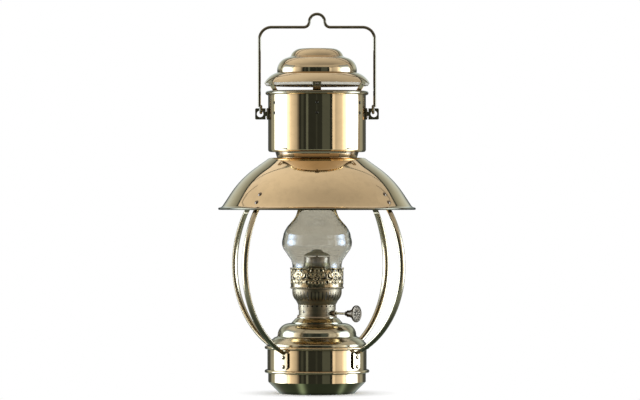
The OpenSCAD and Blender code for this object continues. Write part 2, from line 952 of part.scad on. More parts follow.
module gallery() {
    motifs = 8;
    top = glass_z + gallery_h;
    color(dark_brass)
        difference() {
            union() {
                ring(gallery_r, gallery_in, rope_z, top);
                bead(rope_c, rope_z, rope_r);
                spun([[gallery_r, top - 3], [gallery_r + 0.3, top - 1.4], [gallery_r + 1.1, top]], thin);
            }
            translate([0, 0, rope_z - 3])
                cylinder(h = rope_r + 3, r = basket_r + fit);
            for (i = [0:motifs - 1])
                at(i * 360 / motifs) {
                    for (turn = [-14.5, 14.5])
                        rotate([0, 0, turn])
                            translate([0, 0, glass_z + 11.8])
                                crescent(3.2, -turn * 0.09);
                    rotate([0, 0, 22.5])
                        translate([0, 0, glass_z + 18.2])
                            intersection() {
                                translate([0, 0, 2.4])
                                    rod(gallery_r - 4, gallery_r + 4, 4.4);
                                translate([0, 0, -2.4])
                                    rod(gallery_r - 4, gallery_r + 4, 4.4);
                            }
                    for (spot = [[0, 8.6, 0.9], [0, 4.4, 0.9], [-4, 6.2, 0.8], [4, 6.2, 0.8],
                            [0, 12.8, 1.3], [0, 17.6, 1.0], [22.5, 1.6, 1.4]])
                        rotate([0, 0, spot[0]])
                            translate([0, 0, glass_z + spot[1]])
                                rod(gallery_r - 4, gallery_r + 4, spot[2]);
                    rotate([0, 0, 22.5])
                        translate([0, 0, top + 0.9])
                            rod(gallery_r - 4, gallery_r + 4, 2.4);
                }
        }
}

module wick() {
    // The lower end is cut away on two sides, which leaves two tails in the tank
    between_tails = 18;
    color(cotton)
        difference() {
            ring(wick_out, wick_in, tail_low, wick_top);
            at(duct_a) {
                translate([0, -duct_w / 2 - clear, tail_low - 1])
                    cube([wick_out + 5, duct_w + 2 * clear, wick_slit_top - tail_low + 1]);
                translate([-wick_out - 5, -between_tails / 2, tail_low - 1])
                    cube([2 * wick_out + 10, between_tails, wick_low - tail_low + 1]);
            }
        }
}

module wick_carrier() {
    teeth = floor((rack_top - rack_low - 1) / rack_pitch);
    below = floor((spindle_z - rack_low) / rack_pitch);
    first = spindle_z + rack_pitch / 2 - below * rack_pitch;
    face_w = gear_x[1] - gear_x[0];
    claw_in = wick_out - 1.6;
    color(dark_brass)
        at(spindle_a)
            mirror([0, 1, 0]) {
                translate([gear_x[0], rack_y, rack_low])
                    cube([face_w, rack_w, rack_top - rack_low]);
                for (i = [0:teeth - 1])
                    translate([gear_x[0], rack_y, first + i * rack_pitch])
                        rack_tooth(face_w);
                difference() {
                    translate([claw_in, rack_y, claw_low])
                        cube([gear_x[0] + 0.5 - claw_in, rack_w, claw_top - claw_low]);
                    cylinder_at(claw_low - 1, claw_top + 1, wick_out + fit);
                }
            }
}

module rack_tooth(face_w) {
    depth = tooth_h - 0.1;
    root_w = tooth_w / 2;
    rotate([90, 0, 90])
        linear_extrude(height = face_w)
            polygon([[eps, -root_w], [-depth, -0.2], [-depth, 0.2], [eps, root_w]]);
}

module spindle() {
    color(dark_brass)
        at(spindle_a)
            translate([0, 0, spindle_z])
                rod(spindle_x[0], spindle_x[1], spindle_d / 2);
}

module pinion() {
    root = gear_pitch_r - 0.75;
    tip = gear_pitch_r + 0.5;
    color(dark_brass)
        at(spindle_a)
            translate([gear_x[0], 0, spindle_z])
                rotate([90, 0, 90])
                    linear_extrude(height = gear_x[1] - gear_x[0])
                        difference() {
                            union() {
                                circle(root);
                                for (i = [0:gear_teeth - 1])
                                    rotate(i * 360 / gear_teeth)
                                        polygon([[root - 0.3, -tooth_w / 2], [tip, -0.2],
                                            [tip, 0.2], [root - 0.3, tooth_w / 2]]);
                            }
                            circle(spindle_d / 2 + fit);
                        }
}

module knob() {
    stem = knob_x - 15;
    rosette = 16;
    color(dark_brass)
        at(spindle_a)
            translate([0, 0, spindle_z])
                difference() {
                    union() {
                        rotate([0, 90, 0])
                            rotate_extrude()
                                polygon([[0, stem], [3.0, stem], [3.0, stem + 2.5], [4.4, stem + 3],
                                    [4.4, stem + 6.5], [5.6, stem + 9.5], [6.0, stem + 12.5],
                                    [knob_r - 0.8, knob_x - 0.4], [knob_r, knob_x + 0.4],
                                    [knob_r, knob_x + knob_t - 0.8], [knob_r - 0.8, knob_x + knob_t],
                                    [0, knob_x + knob_t]]);
                    }
                    rod(stem - 1, spindle_x[1] + fit, spindle_d / 2 + fit);
                    for (i = [0:rosette - 1])
                        rotate([i * 360 / rosette, 0, 0])
                            translate([0, knob_r - 4.2, 0])
                                rod(knob_x + knob_t - 0.5, knob_x + knob_t + 1, 1.1);
                }
}

module flame_disc() {
    wall = 1.0;
    in_r = disc_r - wall;
    // The boss for the rod takes the inner two tenths of the dome
    boss_r = in_r * 0.2;
    color(dark_brass)
        difference() {
            rotate_extrude()
                polygon(concat(
                    [for (i = [10:-1:0]) [disc_r * i / 10, disc_edge_z + disc_h * (1 - i * i / 100)]],
                    [[0, disc_boss_z], [boss_r, disc_boss_z]],
                    [for (i = [2:10]) [in_r * i / 10, disc_edge_z + (disc_h - wall) * (1 - i * i / 100)]]));
            cylinder_at(disc_boss_z - 1, disc_edge_z + disc_h - 2 * wall, rod_r + fit);
        }
}

module disc_rod() {
    stop = bridge_z[1] + bridge_t;
    color(dark_brass) {
        cylinder_at(bridge_z[0] - 8, disc_edge_z + disc_h - 2.2, rod_r);
        cylinder_at(stop, stop + 2.5, rod_r + 1.6);
        cylinder_at(disc_boss_z - 0.8, disc_boss_z, 2.6);
    }
}

module glass_chimney() {
    foot_top = bulge_z - 30.2;
    neck_z = bulge_z + 49.8;
    bulge = glass_bulge_r;
    outline = concat(
        [[glass_foot_r, glass_z], [glass_foot_r, foot_top]],
        [[glass_foot_r + 0.5, foot_top + 3.6], [glass_foot_r + 1.8, foot_top + 7.6]],
        [[glass_foot_r + 4.6, foot_top + 11.6]],
        arc([bulge - 18.5, bulge_z], 18.5, -42, 20, 9),
        [[bulge - 2.6, neck_z - 37], [bulge - 6.8, neck_z - 29.4], [bulge - 10.6, neck_z - 25]],
        [[glass_neck_r + 8.2, neck_z - 21.9], [glass_neck_r + 5.2, neck_z - 18]],
        [[glass_neck_r + 3.1, neck_z - 14], [glass_neck_r + 1.7, neck_z - 9.5]],
        [[glass_neck_r + 0.5, neck_z - 4.5], [glass_neck_r, neck_z], [glass_neck_r, glass_top]]);
    color(clear_glass)
        spun(outline, glass_t);
}

holder_band();
holder_pan();
arm_front_left();
arm_front_right();
arm_back_right();
arm_back_left();
foot_rivets();
shade();
shade_rivets();
neck_ring();
vent_drum();
cap_struts();
strut_rivets();
vent_cap();
cap_rivets();
left_ear();
right_ear();
ear_rivets();
bail();
tank_bowl();
tank_cover();
tank_collar();
burner_washer();
burner_foot();
spindle_bush();
outer_tube();
air_tube();
rod_bridges();
burner_basket();
burner_cone();
gallery();
wick();
wick_carrier();
spindle();
pinion();
knob();
flame_disc();
disc_rod();
glass_chimney();
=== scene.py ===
"""Trawler lamp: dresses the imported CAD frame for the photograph's view. Metres, +Z up, the front is -Y."""

import json
import math

import bmesh
import bpy
import numpy as np
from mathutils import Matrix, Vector

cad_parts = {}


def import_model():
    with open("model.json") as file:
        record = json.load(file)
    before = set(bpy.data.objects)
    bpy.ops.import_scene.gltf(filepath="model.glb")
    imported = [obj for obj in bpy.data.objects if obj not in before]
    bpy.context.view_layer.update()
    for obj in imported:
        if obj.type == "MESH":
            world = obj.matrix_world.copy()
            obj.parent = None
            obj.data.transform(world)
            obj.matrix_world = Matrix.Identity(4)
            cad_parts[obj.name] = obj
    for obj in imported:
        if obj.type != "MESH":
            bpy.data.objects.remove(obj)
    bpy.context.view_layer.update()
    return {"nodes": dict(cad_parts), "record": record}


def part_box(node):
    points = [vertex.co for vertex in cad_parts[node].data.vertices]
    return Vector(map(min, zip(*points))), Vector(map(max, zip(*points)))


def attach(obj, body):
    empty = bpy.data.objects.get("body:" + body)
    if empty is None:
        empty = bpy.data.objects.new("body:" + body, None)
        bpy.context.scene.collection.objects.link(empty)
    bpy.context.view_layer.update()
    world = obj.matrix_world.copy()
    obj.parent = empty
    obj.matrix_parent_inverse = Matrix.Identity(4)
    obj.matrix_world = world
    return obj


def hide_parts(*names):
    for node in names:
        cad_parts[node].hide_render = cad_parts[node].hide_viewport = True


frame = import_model()

MM = 0.001
# One pixel of the photograph is 1.3 mm at the lamp's axis
PIXEL = 1.3 * MM
IMAGE_W, IMAGE_H = 640, 400
AXIS_COLUMN = 317
GROUND_ROW = 393
CAMERA_DISTANCE = 4.63
SENSOR = 36.0


# Node helpers


class Tree:
    """A small wrapper that makes and joins shader nodes."""

    def __init__(self, owner):
        owner.use_nodes = True
        self.tree = owner.node_tree
        self.tree.nodes.clear()

    @classmethod
    def over(cls, material):
        """The same helper over a material that has its nodes already."""
        made = cls.__new__(cls)
        made.tree = material.node_tree
        return made

    def node(self, kind, **settings):
        made = self.tree.nodes.new(kind)
        for key, value in settings.items():
            setattr(made, key, value)
        return made

    def link(self, out, socket):
        self.tree.links.new(out, socket)

    def feed(self, socket, value):
        """Joins a socket to another, or sets its own value."""
        if isinstance(value, bpy.types.NodeSocket):
            self.link(value, socket)
        else:
            socket.default_value = value

    def math(self, operation, a, b=0.0, clamp=False):
        made = self.node("ShaderNodeMath", operation=operation, use_clamp=clamp)
        self.feed(made.inputs[0], a)
        self.feed(made.inputs[1], b)
        return made.outputs[0]

    def noise(self, vector, scale, detail=2.0, roughness=0.5):
        made = self.node("ShaderNodeTexNoise")
        self.link(vector, made.inputs["Vector"])
        made.inputs["Scale"].default_value = scale
        made.inputs["Detail"].default_value = detail
        made.inputs["Roughness"].default_value = roughness
        return made.outputs["Fac"]

    def ramp(self, value, low, high, out_low=0.0, out_high=1.0):
        made = self.node("ShaderNodeMapRange")
        self.feed(made.inputs["Value"], value)
        made.inputs["From Min"].default_value = low
        made.inputs["From Max"].default_value = high
        made.inputs["To Min"].default_value = out_low
        made.inputs["To Max"].default_value = out_high
        return made.outputs["Result"]

    def mix(self, factor, a, b):
        made = self.node("ShaderNodeMix", data_type="RGBA")
        self.feed(made.inputs["Factor"], factor)
        self.feed(made.inputs["A"], a)
        self.feed(made.inputs["B"], b)
        return made.outputs["Result"]

    def bump(self, height, strength, distance, normal=None):
        made = self.node("ShaderNodeBump")
        made.inputs["Strength"].default_value = strength
        made.inputs["Distance"].default_value = distance
        self.link(height, made.inputs["Height"])
        if normal is not None:
            self.link(normal, made.inputs["Normal"])
        return made.outputs["Normal"]


def rgb(r, g, b):
    return (r, g, b, 1.0)


def new_material(name):
    """A material with its helper and its main shader."""
    material = bpy.data.materials.new(name)
    tree = Tree(material)
    shader = tree.node("ShaderNodeBsdfPrincipled")
    output = tree.node("ShaderNodeOutputMaterial")
    tree.link(shader.outputs["BSDF"], output.inputs["Surface"])
    return material, tree, shader


def principled(material):
    return next(n for n in material.node_tree.nodes if n.type == "BSDF_PRINCIPLED")


def paint_over(tree, shader, amount, colour):
    """Lays a colour over the shader's own base colour, by an amount from 0 to 1."""
    own = shader.inputs["Base Color"].links[0].from_socket
    tree.link(tree.mix(amount, own, rgb(*colour)), shader.inputs["Base Color"])


def lathe_coordinates(tree):
    """Coordinates that follow a turned piece: direction, radius and height in metres."""
    place = tree.node("ShaderNodeTexCoord").outputs["Object"]
    split = tree.node("ShaderNodeSeparateXYZ")
    tree.link(place, split.inputs[0])
    x, y, z = split.outputs
    radius = tree.math("SQRT", tree.math("ADD", tree.math("MULTIPLY", x, x), tree.math("MULTIPLY", y, y)))
    return place, radius, z


def metal(name, base, dark, roughness, polish=0.008, dent=0.3, tarnish=0.15, painted_hollow_shade=0.7):
    """Polished metal with turning marks, shallow dents, a little tarnish in patches and painted shade in the
    hollows.

    Base is its clean colour, and dark the colour of its stains and of the painted shade in its hollows.
    Polish is the depth of the marks in mm. Dent, tarnish and painted_hollow_shade say how strong
    the dents, the stains and the painted shade in the hollows are.
    """
    material, tree, shader = new_material(name)
    place, radius, z = lathe_coordinates(tree)
    # Turning marks run round the axis, so they vary with radius and height only
    join = tree.node("ShaderNodeCombineXYZ")
    tree.link(radius, join.inputs[0])
    tree.link(z, join.inputs[1])
    marks = tree.noise(join.outputs[0], 2400.0, 3.0)
    waves = tree.noise(place, 26.0, 2.0)
    mottle = tree.noise(place, 90.0, 4.0, 0.6)
    # Painted shade: the occlusion node finds the hollows, and the dark colour is laid into them
    hollow = tree.node("ShaderNodeAmbientOcclusion", samples=6, only_local=False)
    hollow.inputs["Distance"].default_value = 4 * MM
    shade_in = tree.ramp(hollow.outputs["AO"], 0.35, 0.95, 1.0, 0.0)
    stain = tree.math("MULTIPLY", tree.ramp(mottle, 0.45, 0.75), tarnish, clamp=True)
    amount = tree.math("MAXIMUM", stain, tree.math("MULTIPLY", shade_in, painted_hollow_shade), clamp=True)
    tree.link(tree.mix(amount, rgb(*base), rgb(*dark)), shader.inputs["Base Color"])
    shader.inputs["Metallic"].default_value = 1.0
    tree.link(tree.ramp(mottle, 0.3, 0.8, roughness, roughness * 1.6), shader.inputs["Roughness"])
    soft = tree.bump(waves, dent, 0.35 * MM)
    tree.link(tree.bump(marks, 1.0, polish * MM, soft), shader.inputs["Normal"])
    return material


def lamp_glass():
    """Clear glass with a faint smoky tint and the slight waves of blown glass."""
    material, tree, shader = new_material("lamp glass")
    place = tree.node("ShaderNodeTexCoord").outputs["Object"]
    shader.inputs["Base Color"].default_value = rgb(0.63, 0.61, 0.54)
    shader.inputs["Transmission Weight"].default_value = 1.0
    shader.inputs["Roughness"].default_value = 0.012
    shader.inputs["IOR"].default_value = 1.5
    tree.link(tree.bump(tree.noise(place, 30.0, 1.0), 0.2, 0.2 * MM), shader.inputs["Normal"])
    return material


def cotton():
    """Woven wick: crossed threads and a scorched edge where the flame stands."""
    material, tree, shader = new_material("cotton wick")
    place, _, z = lathe_coordinates(tree)
    threads = tree.node("ShaderNodeTexWave", bands_direction="Z")
    tree.link(place, threads.inputs["Vector"])
    threads.inputs["Scale"].default_value = 260.0
    threads.inputs["Distortion"].default_value = 3.0
    threads.inputs["Detail"].default_value = 2.0
    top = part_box("wick")[1][2]
    burnt = tree.ramp(z, top - 3 * MM, top - 0.3 * MM)
    pale = tree.mix(threads.outputs["Fac"], rgb(0.66, 0.61, 0.50), rgb(0.86, 0.83, 0.74))
    tree.link(tree.mix(burnt, pale, rgb(0.10, 0.08, 0.06)), shader.inputs["Base Color"])
    shader.inputs["Roughness"].default_value = 0.95
    shader.inputs["Sheen Weight"].default_value = 0.3
    tree.link(tree.bump(threads.outputs["Fac"], 0.6, 0.2 * MM), shader.inputs["Normal"])
    return material


def cork():
    """Pressed cork: coarse dark and light grain."""
    material, tree, shader = new_material("cork washer")
    place = tree.node("ShaderNodeTexCoord").outputs["Object"]
    grain = tree.noise(place, 900.0, 4.0, 0.7)
    tree.link(tree.mix(grain, rgb(0.20, 0.12, 0.07), rgb(0.55, 0.39, 0.24)), shader.inputs["Base Color"])
    shader.inputs["Roughness"].default_value = 0.9
    tree.link(tree.bump(grain, 0.5, 0.2 * MM), shader.inputs["Normal"])
    return material


def cap_metal():
    """The cap's brass, with its downward faces painted a dull grey non-metal: a painted reflection."""
    material = metal("cap brass", (0.575, 0.425, 0.24), (0.19, 0.15, 0.09), 0.05, 0.004, 0.2)
    tree, shader = Tree.over(material), principled(material)
    split = tree.node("ShaderNodeSeparateXYZ")
    tree.link(tree.node("ShaderNodeNewGeometry").outputs["Normal"], split.inputs[0])
    # Painted reflection: faces that look down get a flat grey in place of the metal's own reflection
    painted_underside = tree.ramp(split.outputs[2], -0.35, -0.25, 1.0, 0.0)
    paint_over(tree, shader, painted_underside, (0.63, 0.61, 0.53))
    rough = shader.inputs["Roughness"].links[0].from_socket
    tree.link(tree.math("MAXIMUM", rough, tree.math("MULTIPLY", painted_underside, 0.5)), shader.inputs["Roughness"])
    tree.link(tree.math("SUBTRACT", 1.0, painted_underside), shader.inputs["Metallic"])
    return material


def disc_metal():
    """The flame disc's brass, oxidised by the flame, so that it scatters light."""
    material = metal("oxidised disc", (0.94, 0.88, 0.66), (0.34, 0.31, 0.20), 0.4, 0.01, 0.2, 0.3, 0.4)
    principled(material).inputs["Metallic"].default_value = 0.1
    return material


def tube_metal():
    """The wick tube: bright where the glass stands round it, and painted near-black below, where it lies in
    shade inside the burner.
    """
    material = metal("wick tube, painted dark inside", (0.66, 0.55, 0.45), (0.2, 0.17, 0.12), 0.28, 0.01, 0.2, 0.4, 0.8)
    tree = Tree.over(material)
    z = lathe_coordinates(tree)[2]
    # Painted shade: the part of the tube inside the burner is laid near-black
    inside = tree.ramp(z, GLASS_Z, GLASS_Z + 12 * MM, 1.0, 0.0)
    paint_over(tree, principled(material), inside, (0.05, 0.04, 0.025))
    return material


def brass_with_painted_line(name, dark_z, clear_z, line):
    """Brass with a painted shade line along a rolled edge, dark at one height and clean at the other."""
    material = metal(name, CLEAN_BRASS, BRASS_STAIN_AND_SHADE, 0.045, 0.004, 0.2)
    tree = Tree.over(material)
    z = lathe_coordinates(tree)[2]
    low, high = min(dark_z, clear_z), max(dark_z, clear_z)
    # The painted shade line, in the given colour between the two heights
    edge = tree.ramp(z, low, high, float(dark_z < clear_z), float(dark_z > clear_z))
    paint_over(tree, principled(material), edge, line)
    return material


SHADE_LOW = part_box("shade")[0][2]
DRUM_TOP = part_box("vent_drum")[1][2]
GLASS_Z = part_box("glass_chimney")[0][2]
CLEAN_BRASS = (0.66, 0.475, 0.26)
# Dark colours for the metal's stains and for the painted shade it lays into hollows
BRASS_STAIN_AND_SHADE = (0.21, 0.17, 0.10)
STAIN_AND_SHADE = (0.10, 0.085, 0.055)
BRASS = metal("polished brass", CLEAN_BRASS, BRASS_STAIN_AND_SHADE, 0.045, 0.004, 0.2)
WIRE = metal("drawn brass wire", (0.17, 0.137, 0.085), (0.16, 0.13, 0.09), 0.12, 0.002, 0.1, 0.1, 0.3)
BURNER = metal("stamped burner brass", (0.30, 0.22, 0.125), STAIN_AND_SHADE, 0.34, 0.02, 0.4, 0.7, 0.9)
HEATED = metal("heat darkened brass", (0.50, 0.42, 0.25), (0.16, 0.14, 0.085), 0.34, 0.02, 0.3, 0.6, 0.8)
RIVET = metal("peened rivets", (0.18, 0.13, 0.09), STAIN_AND_SHADE, 0.22, 0.02, 0.4, 0.5, 0.9)
ARM = metal("arm brass", (0.52, 0.40, 0.235), (0.12, 0.10, 0.06), 0.18, 0.004, 0.2, 0.2, 0.9)
TANK = metal("tank brass", (0.51, 0.42, 0.26), (0.12, 0.115, 0.075), 0.14, 0.004, 0.2, 0.2, 0.95)
FINISHES = {
    "polished_brass": BRASS,
    "brass_wire": WIRE,
    "burner_brass": BURNER,
    "cotton": cotton(),
    "lamp_glass": lamp_glass(),
    "cork": cork(),
}
# Nodes with a finish of their own, where the photograph shows one
FINISH_OF = {
    "gallery": metal("pressed gallery", (0.44, 0.315, 0.165), STAIN_AND_SHADE, 0.16, 0.01, 0.3, 0.8, 0.95),
    "knob": metal("pressed knob", (0.13, 0.095, 0.06), (0.045, 0.034, 0.022), 0.24, 0.01, 0.3, 0.7, 0.95),
    "vent_cap": cap_metal(),
    "outer_tube": tube_metal(),
    # The shade's rolled rim and the drum's top bead carry a painted shade line
    "shade": brass_with_painted_line("shade brass", SHADE_LOW + 2.0 * MM, SHADE_LOW + 3.8 * MM, (0.14, 0.115, 0.07)),
    "vent_drum": brass_with_painted_line("drum brass", DRUM_TOP - 2.8 * MM, DRUM_TOP - 4.0 * MM, (0.25, 0.20, 0.12)),
    "flame_disc": disc_metal(),
    # The neck ring's brass is darker all over: a painted shade
    "neck_ring": metal("neck brass darkened as painted shade", (0.53, 0.38, 0.225), STAIN_AND_SHADE, 0.06, 0.01, 0.3, 0.3, 0.9),
    "tank_cover": TANK,
    "tank_collar": TANK,
    "strut_rivets": metal("dull rivets", (0.06, 0.05, 0.033), (0.03, 0.025, 0.017), 0.5, 0.02, 0.4, 0.5, 0.9),
    "foot_rivets": metal("brass rivets", (0.50, 0.37, 0.23), STAIN_AND_SHADE, 0.14, 0.02, 0.4, 0.3, 0.95),
}
for hot in ("disc_rod", "burner_cone", "spindle"):
    FINISH_OF[hot] = HEATED
for node_name in frame["nodes"]:
    if node_name.startswith("arm"):
        FINISH_OF[node_name] = ARM
    elif node_name.endswith("rivets"):
        FINISH_OF.setdefault(node_name, RIVET)


def dress_nodes():
    """Gives each node the finish of its own, or that of its slot."""
    for part in frame["record"]["subparts"]:
        mesh = frame["nodes"][part["node"]].data
        mesh.materials.clear()
        mesh.materials.append(FINISH_OF.get(part["node"], FINISHES[part["material_slot"]]))


# Edges sharper than this stay sharp
SHARP = math.radians(28)


def smooth_group():
    """Geometry nodes that shade the facets of a curved face as one, up to its sharp edges."""
    group = bpy.data.node_groups.new("smooth facets", "GeometryNodeTree")
    group.interface.new_socket(name="Geometry", in_out="INPUT", socket_type="NodeSocketGeometry")
    group.interface.new_socket(name="Geometry", in_out="OUTPUT", socket_type="NodeSocketGeometry")
    start = group.nodes.new("NodeGroupInput")
    end = group.nodes.new("NodeGroupOutput")
    weld = group.nodes.new("GeometryNodeMergeByDistance")
    weld.inputs["Distance"].default_value = 0.002 * MM
    angle = group.nodes.new("GeometryNodeInputMeshEdgeAngle")
    sharp = group.nodes.new("FunctionNodeCompare")
    sharp.operation = "GREATER_THAN"
    sharp.inputs["B"].default_value = SHARP
    normal = group.nodes.new("GeometryNodeSetMeshNormal")
    normal.inputs["Remove Custom"].default_value = True
    for out, socket in ((start.outputs[0], weld.inputs["Geometry"]),
                        (weld.outputs["Geometry"], normal.inputs["Mesh"]),
                        (angle.outputs["Unsigned Angle"], sharp.inputs["A"]),
                        (sharp.outputs["Result"], normal.inputs["Edge Sharpness"]),
                        (normal.outputs["Mesh"], end.inputs[0])):
        group.links.new(out, socket)
    return group


def smooth_nodes():
    """Large faces keep their own normals, and small ones between them turn smoothly."""
    group = smooth_group()
    for made in frame["nodes"].values():
        facets = made.modifiers.new("smooth facets", "NODES")
        facets.node_group = group
        weighted = made.modifiers.new("weighted normals", "WEIGHTED_NORMAL")
        weighted.mode = "FACE_AREA_WITH_ANGLE"
        weighted.weight = 90
        weighted.keep_sharp = True


# Pieces made here


def link_mesh(name, points, faces, material, smooth=False):
    mesh = bpy.data.meshes.new(name)
    mesh.from_pydata(points, [], faces)
    mesh.materials.append(material)
    if smooth:
        mesh.polygons.foreach_set("use_smooth", [True] * len(mesh.polygons))
    made = bpy.data.objects.new(name, mesh)
    bpy.context.scene.collection.objects.link(made)
    return made


def curve_through(points, per_span):
    """A smooth line through points in the plane, with some steps in each span."""
    line = []
    last = len(points) - 1
    for i in range(last):
        p0, p1 = Vector(points[max(i - 1, 0)]), Vector(points[i])
        p2, p3 = Vector(points[i + 1]), Vector(points[min(i + 2, last)])
        reach = (p2 - p1).length
        a = (p2 - p0).normalized() * reach
        b = (p3 - p1).normalized() * reach
        for k in range(per_span):
            t = k / per_span
            line.append(p1 * (2 * t**3 - 3 * t**2 + 1) + a * (t**3 - 2 * t**2 + t)
                        + p2 * (3 * t**2 - 2 * t**3) + b * (t**3 - t**2))
    line.append(Vector(points[last]))
    return line


def inner_line(line, wall):
    """The same line shifted towards the axis by the wall."""
    shifted = []
    for i, point in enumerate(line):
        along = (line[min(i + 1, len(line) - 1)] - line[max(i - 1, 0)]).normalized()
        shifted.append(point + wall * Vector((-along[1], along[0])))
    return shifted


def turned(name, ring, material, segments=128):
    """A closed section turned about the lamp's axis."""
    count = len(ring)
    points = [(r * math.sin(a), -r * math.cos(a), z)
              for a in (2 * math.pi * s / segments for s in range(segments)) for r, z in ring]
    faces = []
    for s in range(segments):
        here, there = s * count, (s + 1) % segments * count
        for i in range(count):
            j = (i + 1) % count
            faces.append((here + i, there + i, there + j, here + j))
    return link_mesh(name, points, faces, material, smooth=True)


def glass_line(height, neck_r, wall):
    """The outer line of the glass from its foot up, as radius and height in mm."""
    foot_r, bulge_r, bulge_z, bend_r = 32.0, 45.5, 54.2, 18.5
    bulge = [(bulge_r - bend_r + bend_r * math.cos(a), bulge_z + bend_r * math.sin(a))
             for a in map(math.radians, (-42, -27, -12, 4, 20))]
    waist = [(foot_r, 0), (foot_r, 12), (foot_r, 24),
             (foot_r + 0.5, 27.6), (foot_r + 1.8, 31.6), (foot_r + 4.6, 35.6)]
    shoulder = [(bulge_r - 2.6, 67), (bulge_r - 6.8, 74.6), (bulge_r - 10.6, 79), (neck_r + 8.2, 82.1),
                (neck_r + 5.2, 86), (neck_r + 3.1, 90), (neck_r + 1.7, 94.5), (neck_r + 0.5, 99.5)]
    neck = [(neck_r, 104), (neck_r, 150), (neck_r, height - wall / 2)]
    return curve_through(waist + bulge + shoulder + neck, 4)


def chimney_glass():
    """The lamp glass, blown in one sweep, with a ground foot and a fire-polished lip."""
    neck_r, wall = 24.0, 1.6
    height = (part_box("glass_chimney")[1][2] - GLASS_Z) / MM
    outer = glass_line(height, neck_r, wall)
    inner = inner_line(outer, wall)
    lip = [Vector((neck_r - wall / 2 + wall / 2 * math.cos(a), height - wall / 2 + wall / 2 * math.sin(a)))
           for a in map(math.radians, (30, 60, 90, 120, 150))]
    ring = [(p[0] * MM, GLASS_Z + p[1] * MM) for p in outer + lip + inner[::-1]]
    glass = turned("glass_blown", ring, FINISHES["lamp_glass"])
    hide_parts("glass_chimney")
    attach(glass, "glass")


def rope_bead():
    """Twisted bead round the gallery's foot."""
    strands, sides, steps = 84, 10, 84 * 6
    ring_r, wire_r, ridge = 33.4 * MM, 1.22 * MM, 0.28 * MM
    z = GLASS_Z - 4.5 * MM
    points, faces = [], []
    for i in range(steps):
        a = 2 * math.pi * i / steps
        for k in range(sides):
            b = 2 * math.pi * k / sides
            r = wire_r + ridge * math.cos(strands * a + 2 * b)
            out = ring_r + r * math.cos(b)
            points.append((out * math.sin(a), -out * math.cos(a), z + r * math.sin(b)))
            i2, k2 = (i + 1) % steps, (k + 1) % sides
            faces.append((i * sides + k, i2 * sides + k, i2 * sides + k2, i * sides + k2))
    bead = link_mesh("gallery_rope", points, faces, BURNER, smooth=True)
    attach(bead, "burner")


# The gallery's sheet in mm. Heights are counted from the foot of the glass
GALLERY_R = 34.1
GALLERY_LOW, GALLERY_HIGH = -3.6, 21.5
SHEET = 0.6
COLUMNS, ROWS = 720, 72
ARC_STEP = 2 * math.pi * GALLERY_R / COLUMNS
UP_STEP = (GALLERY_HIGH - GALLERY_LOW) / ROWS


def smooth_step(value, low, high):
    t = np.clip((value - low) / (high - low), 0.0, 1.0)
    return t * t * (3 - 2 * t)


def hole_distance(arc, up):
    """Distance in mm outside the nearest hole, less than nothing inside one, and the place in its pitch."""
    pitch = 2 * math.pi * GALLERY_R / 8
    s = np.abs(np.mod(arc + pitch / 2, pitch) - pitch / 2)

    def disc(x, z, r):
        return np.hypot(s - x, up - z) - r

    petals = (0, math.pi / 3, 2 * math.pi / 3, math.pi)
    flower = [disc(2.4 * math.sin(a), 7.9 + 2.4 * math.cos(a), 0.9) for a in petals]
    drop = [disc(5.2 + 0.5 * k, 18.6 - 0.72 * k, 1.75 - 0.3 * k) for k in range(5)]
    moon = np.maximum(disc(8.4, 11.3, 4.5), -disc(6.7, 12.5, 4.0))
    round_holes = [disc(0, 2.4, 1.3), disc(0, 13.6, 1.3), disc(0, 18.0, 1.1),
                   disc(pitch / 2, 3.3, 1.8), disc(5.0, 2.6, 0.9), disc(pitch / 2, 22.8, 3.2)]
    return np.minimum.reduce(flower + drop + [moon] + round_holes), s


def gallery_surface(arc, up):
    """Radius in mm of the pressed sheet: a lip round each hole, bosses, and the flared top."""
    away, s = hole_distance(arc, up)
    lip = 0.5 * np.exp(-((away - 0.55) / 0.6) ** 2)
    bosses = ((13.39, 15.4, 1.6), (3.2, 14.6, 1.1), (6.6, 12.6, 1.6), (13.39, 8.0, 1.2), (9.0, 3.2, 1.2))
    boss = sum(0.55 * np.exp(-(((s - x) ** 2 + (up - z) ** 2) / r ** 2)) for x, z, r in bosses)
    flare = 1.1 * smooth_step(up, 18.6, GALLERY_HIGH)
    edge = smooth_step(up, GALLERY_LOW, -2.2)
    return 33.95 + (lip + boss) * edge + flare


def gallery_grid():
    """Arc and height of the sheet's points. Those near a hole's edge are moved onto it."""
    arc, up = np.meshgrid(np.arange(COLUMNS) * ARC_STEP, GALLERY_LOW + np.arange(ROWS + 1) * UP_STEP)
    away, _ = hole_distance(arc, up)
    tiny = 0.01
    slope_arc = (hole_distance(arc + tiny, up)[0] - hole_distance(arc - tiny, up)[0]) / (2 * tiny)
    slope_up = (hole_distance(arc, up + tiny)[0] - hole_distance(arc, up - tiny)[0]) / (2 * tiny)
    near = np.abs(away) < 0.55 * ARC_STEP
    inner_row = (up > GALLERY_LOW + 0.5 * UP_STEP) & (up < GALLERY_HIGH - 0.5 * UP_STEP)
    arc = arc - np.where(near, away * slope_arc, 0.0)
    up = up - np.where(near & inner_row, away * slope_up, 0.0)
    return arc, up


def gallery_skins(arc, up):
    """Points of the outer and the inner skin in metres."""
    radius = gallery_surface(arc, up)
    turn = arc / GALLERY_R
    skins = []
    for thick in (0.0, SHEET):
        r = (radius - thick) * MM
        skin = np.stack([r * np.sin(turn), -r * np.cos(turn), GLASS_Z + up * MM], axis=-1)
        skins.append(skin.reshape(-1, 3))
    return skins


def gallery_metal():
    """Which cells of the sheet are metal, by row and column."""
    middle_arc = (np.arange(COLUMNS) + 0.5) * ARC_STEP
    middle_up = GALLERY_LOW + (np.arange(ROWS) + 0.5) * UP_STEP
    arc, up = np.meshgrid(middle_arc, middle_up)
    return hole_distance(arc, up)[0] > 0


